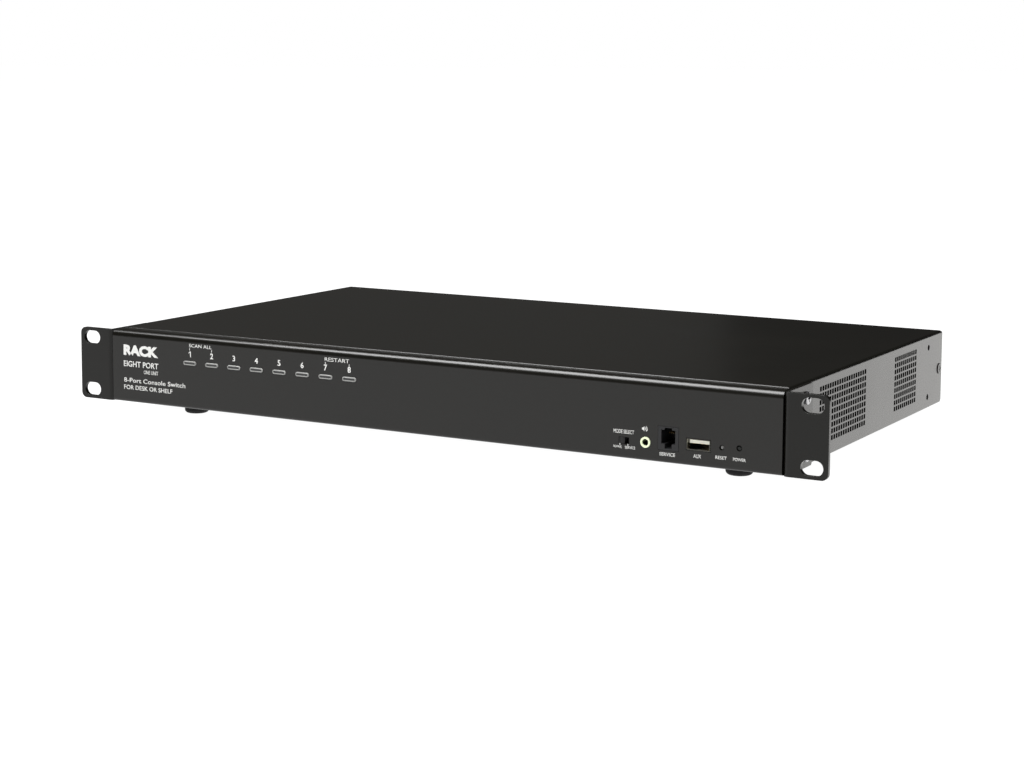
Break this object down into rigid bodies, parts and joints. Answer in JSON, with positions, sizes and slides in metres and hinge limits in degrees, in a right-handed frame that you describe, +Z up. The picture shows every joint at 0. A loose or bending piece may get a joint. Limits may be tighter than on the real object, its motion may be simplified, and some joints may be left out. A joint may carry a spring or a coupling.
{
  "type": "kvm switch",
  "caption": "Rack-mount console switch: a flat one-unit steel case with slotted ears, a row of push buttons and small sockets in front, perforated sides and rows of sockets behind.",
  "frame": {"origin": "bottom centre of the bounding box, on the plane the rubber feet stand on", "axes": "+X towards the right-hand ear seen from the front, -Y towards the front panel, +Z up"},
  "size_m": [0.4826, 0.2614, 0.053],
  "materials": {
    "case_paint": "fine-textured satin powder coat",
    "ear_paint": "fine-textured satin powder coat",
    "black_screw": "black zinc",
    "steel_screw": "zinc plated",
    "foot_rubber": "matte",
    "button_plastic": "milky translucent",
    "grey_plastic": "fine grain",
    "black_plastic": "fine grain",
    "charcoal_plastic": "fine grain",
    "white_plastic": "moulded",
    "lime_plastic": "moulded",
    "plated_shell": "nickel plated",
    "gold_contact": "gold flashed",
    "lamp_lens": "dark tinted",
    "circuit_board": "solder mask",
    "brass_post": "turned",
    "bare_aluminium": "extruded",
    "capacitor_sleeve": "shrink sleeve",
    "ferrite": "sintered",
    "winding_tape": "polyester tape",
    "cable_grey": "ribbon cable"
  },
  "bodies": {
    "case": {"audio_body": "black_plastic", "audio_collar": "lime_plastic", "base_pan": "case_paint", "board_capacitors": "capacitor_sleeve", "board_chips": "black_plastic", "board_posts": "brass_post", "board_screws": "steel_screw", "button_board": "circuit_board", "button_guide": "white_plastic", "console_audio_sockets": "lime_plastic", "console_type_a_shells": "plated_shell", "console_type_a_tongues": "white_plastic", "cover_screws": "black_screw", "ear_screws": "black_screw", "flat_cables": "cable_grey", "foot_screws": "steel_screw", "front_panel": "case_paint", "front_port_board": "circuit_board", "heat_sinks": "bare_aluminium", "inlet_pins": "plated_shell", "inlet_screws": "black_screw", "lamp_holder": "black_plastic", "main_board": "circuit_board", "mode_switch_body": "black_plastic", "modular_contacts": "gold_contact", "modular_jack": "charcoal_plastic", "port_leds": "lamp_lens", "power_inlet": "black_plastic", "power_lamp": "lamp_lens", "power_switch_frame": "black_plastic", "rack_ear_left": "ear_paint", "rack_ear_right": "ear_paint", "rear_panel": "case_paint", "rubber_feet": "foot_rubber", "supply_board": "circuit_board", "supply_capacitors": "capacitor_sleeve", "supply_heat_sink": "bare_aluminium", "supply_transformer": "ferrite", "tact_switches": "black_plastic", "top_cover": "case_paint", "transformer_winding": "winding_tape", "type_a_contacts": "gold_contact", "type_a_moulding": "white_plastic", "type_a_shell": "plated_shell", "type_b_shells": "plated_shell", "type_b_tongues": "black_plastic", "video_shells": "plated_shell", "video_tongues": "black_plastic"},
    "button_1": {"port_button_1": "button_plastic"},
    "button_2": {"port_button_2": "button_plastic"},
    "button_3": {"port_button_3": "button_plastic"},
    "button_4": {"port_button_4": "button_plastic"},
    "button_5": {"port_button_5": "button_plastic"},
    "button_6": {"port_button_6": "button_plastic"},
    "button_7": {"port_button_7": "button_plastic"},
    "button_8": {"port_button_8": "button_plastic"},
    "reset": {"reset_button": "grey_plastic"},
    "mode_knob": {"mode_switch_knob": "grey_plastic"},
    "rocker": {"power_rocker": "black_plastic"}
  },
  "joints": [
    {"name": "button_1_press", "type": "slide", "parent": "case", "child": "button_1", "axis": [0, 1, 0], "range_m": [0, 0.0005], "stiffness_N_per_m": 2000, "springref_m": -0.0003},
    {"name": "button_2_press", "type": "slide", "parent": "case", "child": "button_2", "axis": [0, 1, 0], "range_m": [0, 0.0005], "stiffness_N_per_m": 2000, "springref_m": -0.0003},
    {"name": "button_3_press", "type": "slide", "parent": "case", "child": "button_3", "axis": [0, 1, 0], "range_m": [0, 0.0005], "stiffness_N_per_m": 2000, "springref_m": -0.0003},
    {"name": "button_4_press", "type": "slide", "parent": "case", "child": "button_4", "axis": [0, 1, 0], "range_m": [0, 0.0005], "stiffness_N_per_m": 2000, "springref_m": -0.0003},
    {"name": "button_5_press", "type": "slide", "parent": "case", "child": "button_5", "axis": [0, 1, 0], "range_m": [0, 0.0005], "stiffness_N_per_m": 2000, "springref_m": -0.0003},
    {"name": "button_6_press", "type": "slide", "parent": "case", "child": "button_6", "axis": [0, 1, 0], "range_m": [0, 0.0005], "stiffness_N_per_m": 2000, "springref_m": -0.0003},
    {"name": "button_7_press", "type": "slide", "parent": "case", "child": "button_7", "axis": [0, 1, 0], "range_m": [0, 0.0005], "stiffness_N_per_m": 2000, "springref_m": -0.0003},
    {"name": "button_8_press", "type": "slide", "parent": "case", "child": "button_8", "axis": [0, 1, 0], "range_m": [0, 0.0005], "stiffness_N_per_m": 2000, "springref_m": -0.0003},
    {"name": "reset_press", "type": "slide", "parent": "case", "child": "reset", "axis": [0, 1, 0], "range_m": [0, 0.0004], "stiffness_N_per_m": 2000, "springref_m": -0.0003},
    {"name": "mode_slide", "type": "slide", "parent": "case", "child": "mode_knob", "axis": [1, 0, 0], "range_m": [0, 0.0026]},
    {"name": "rocker_tilt", "type": "hinge", "parent": "case", "child": "rocker", "pos_m": [-0.14, 0.1252, 0.031], "axis": [0, 0, 1], "range_deg": [0, 20]}
  ]
}
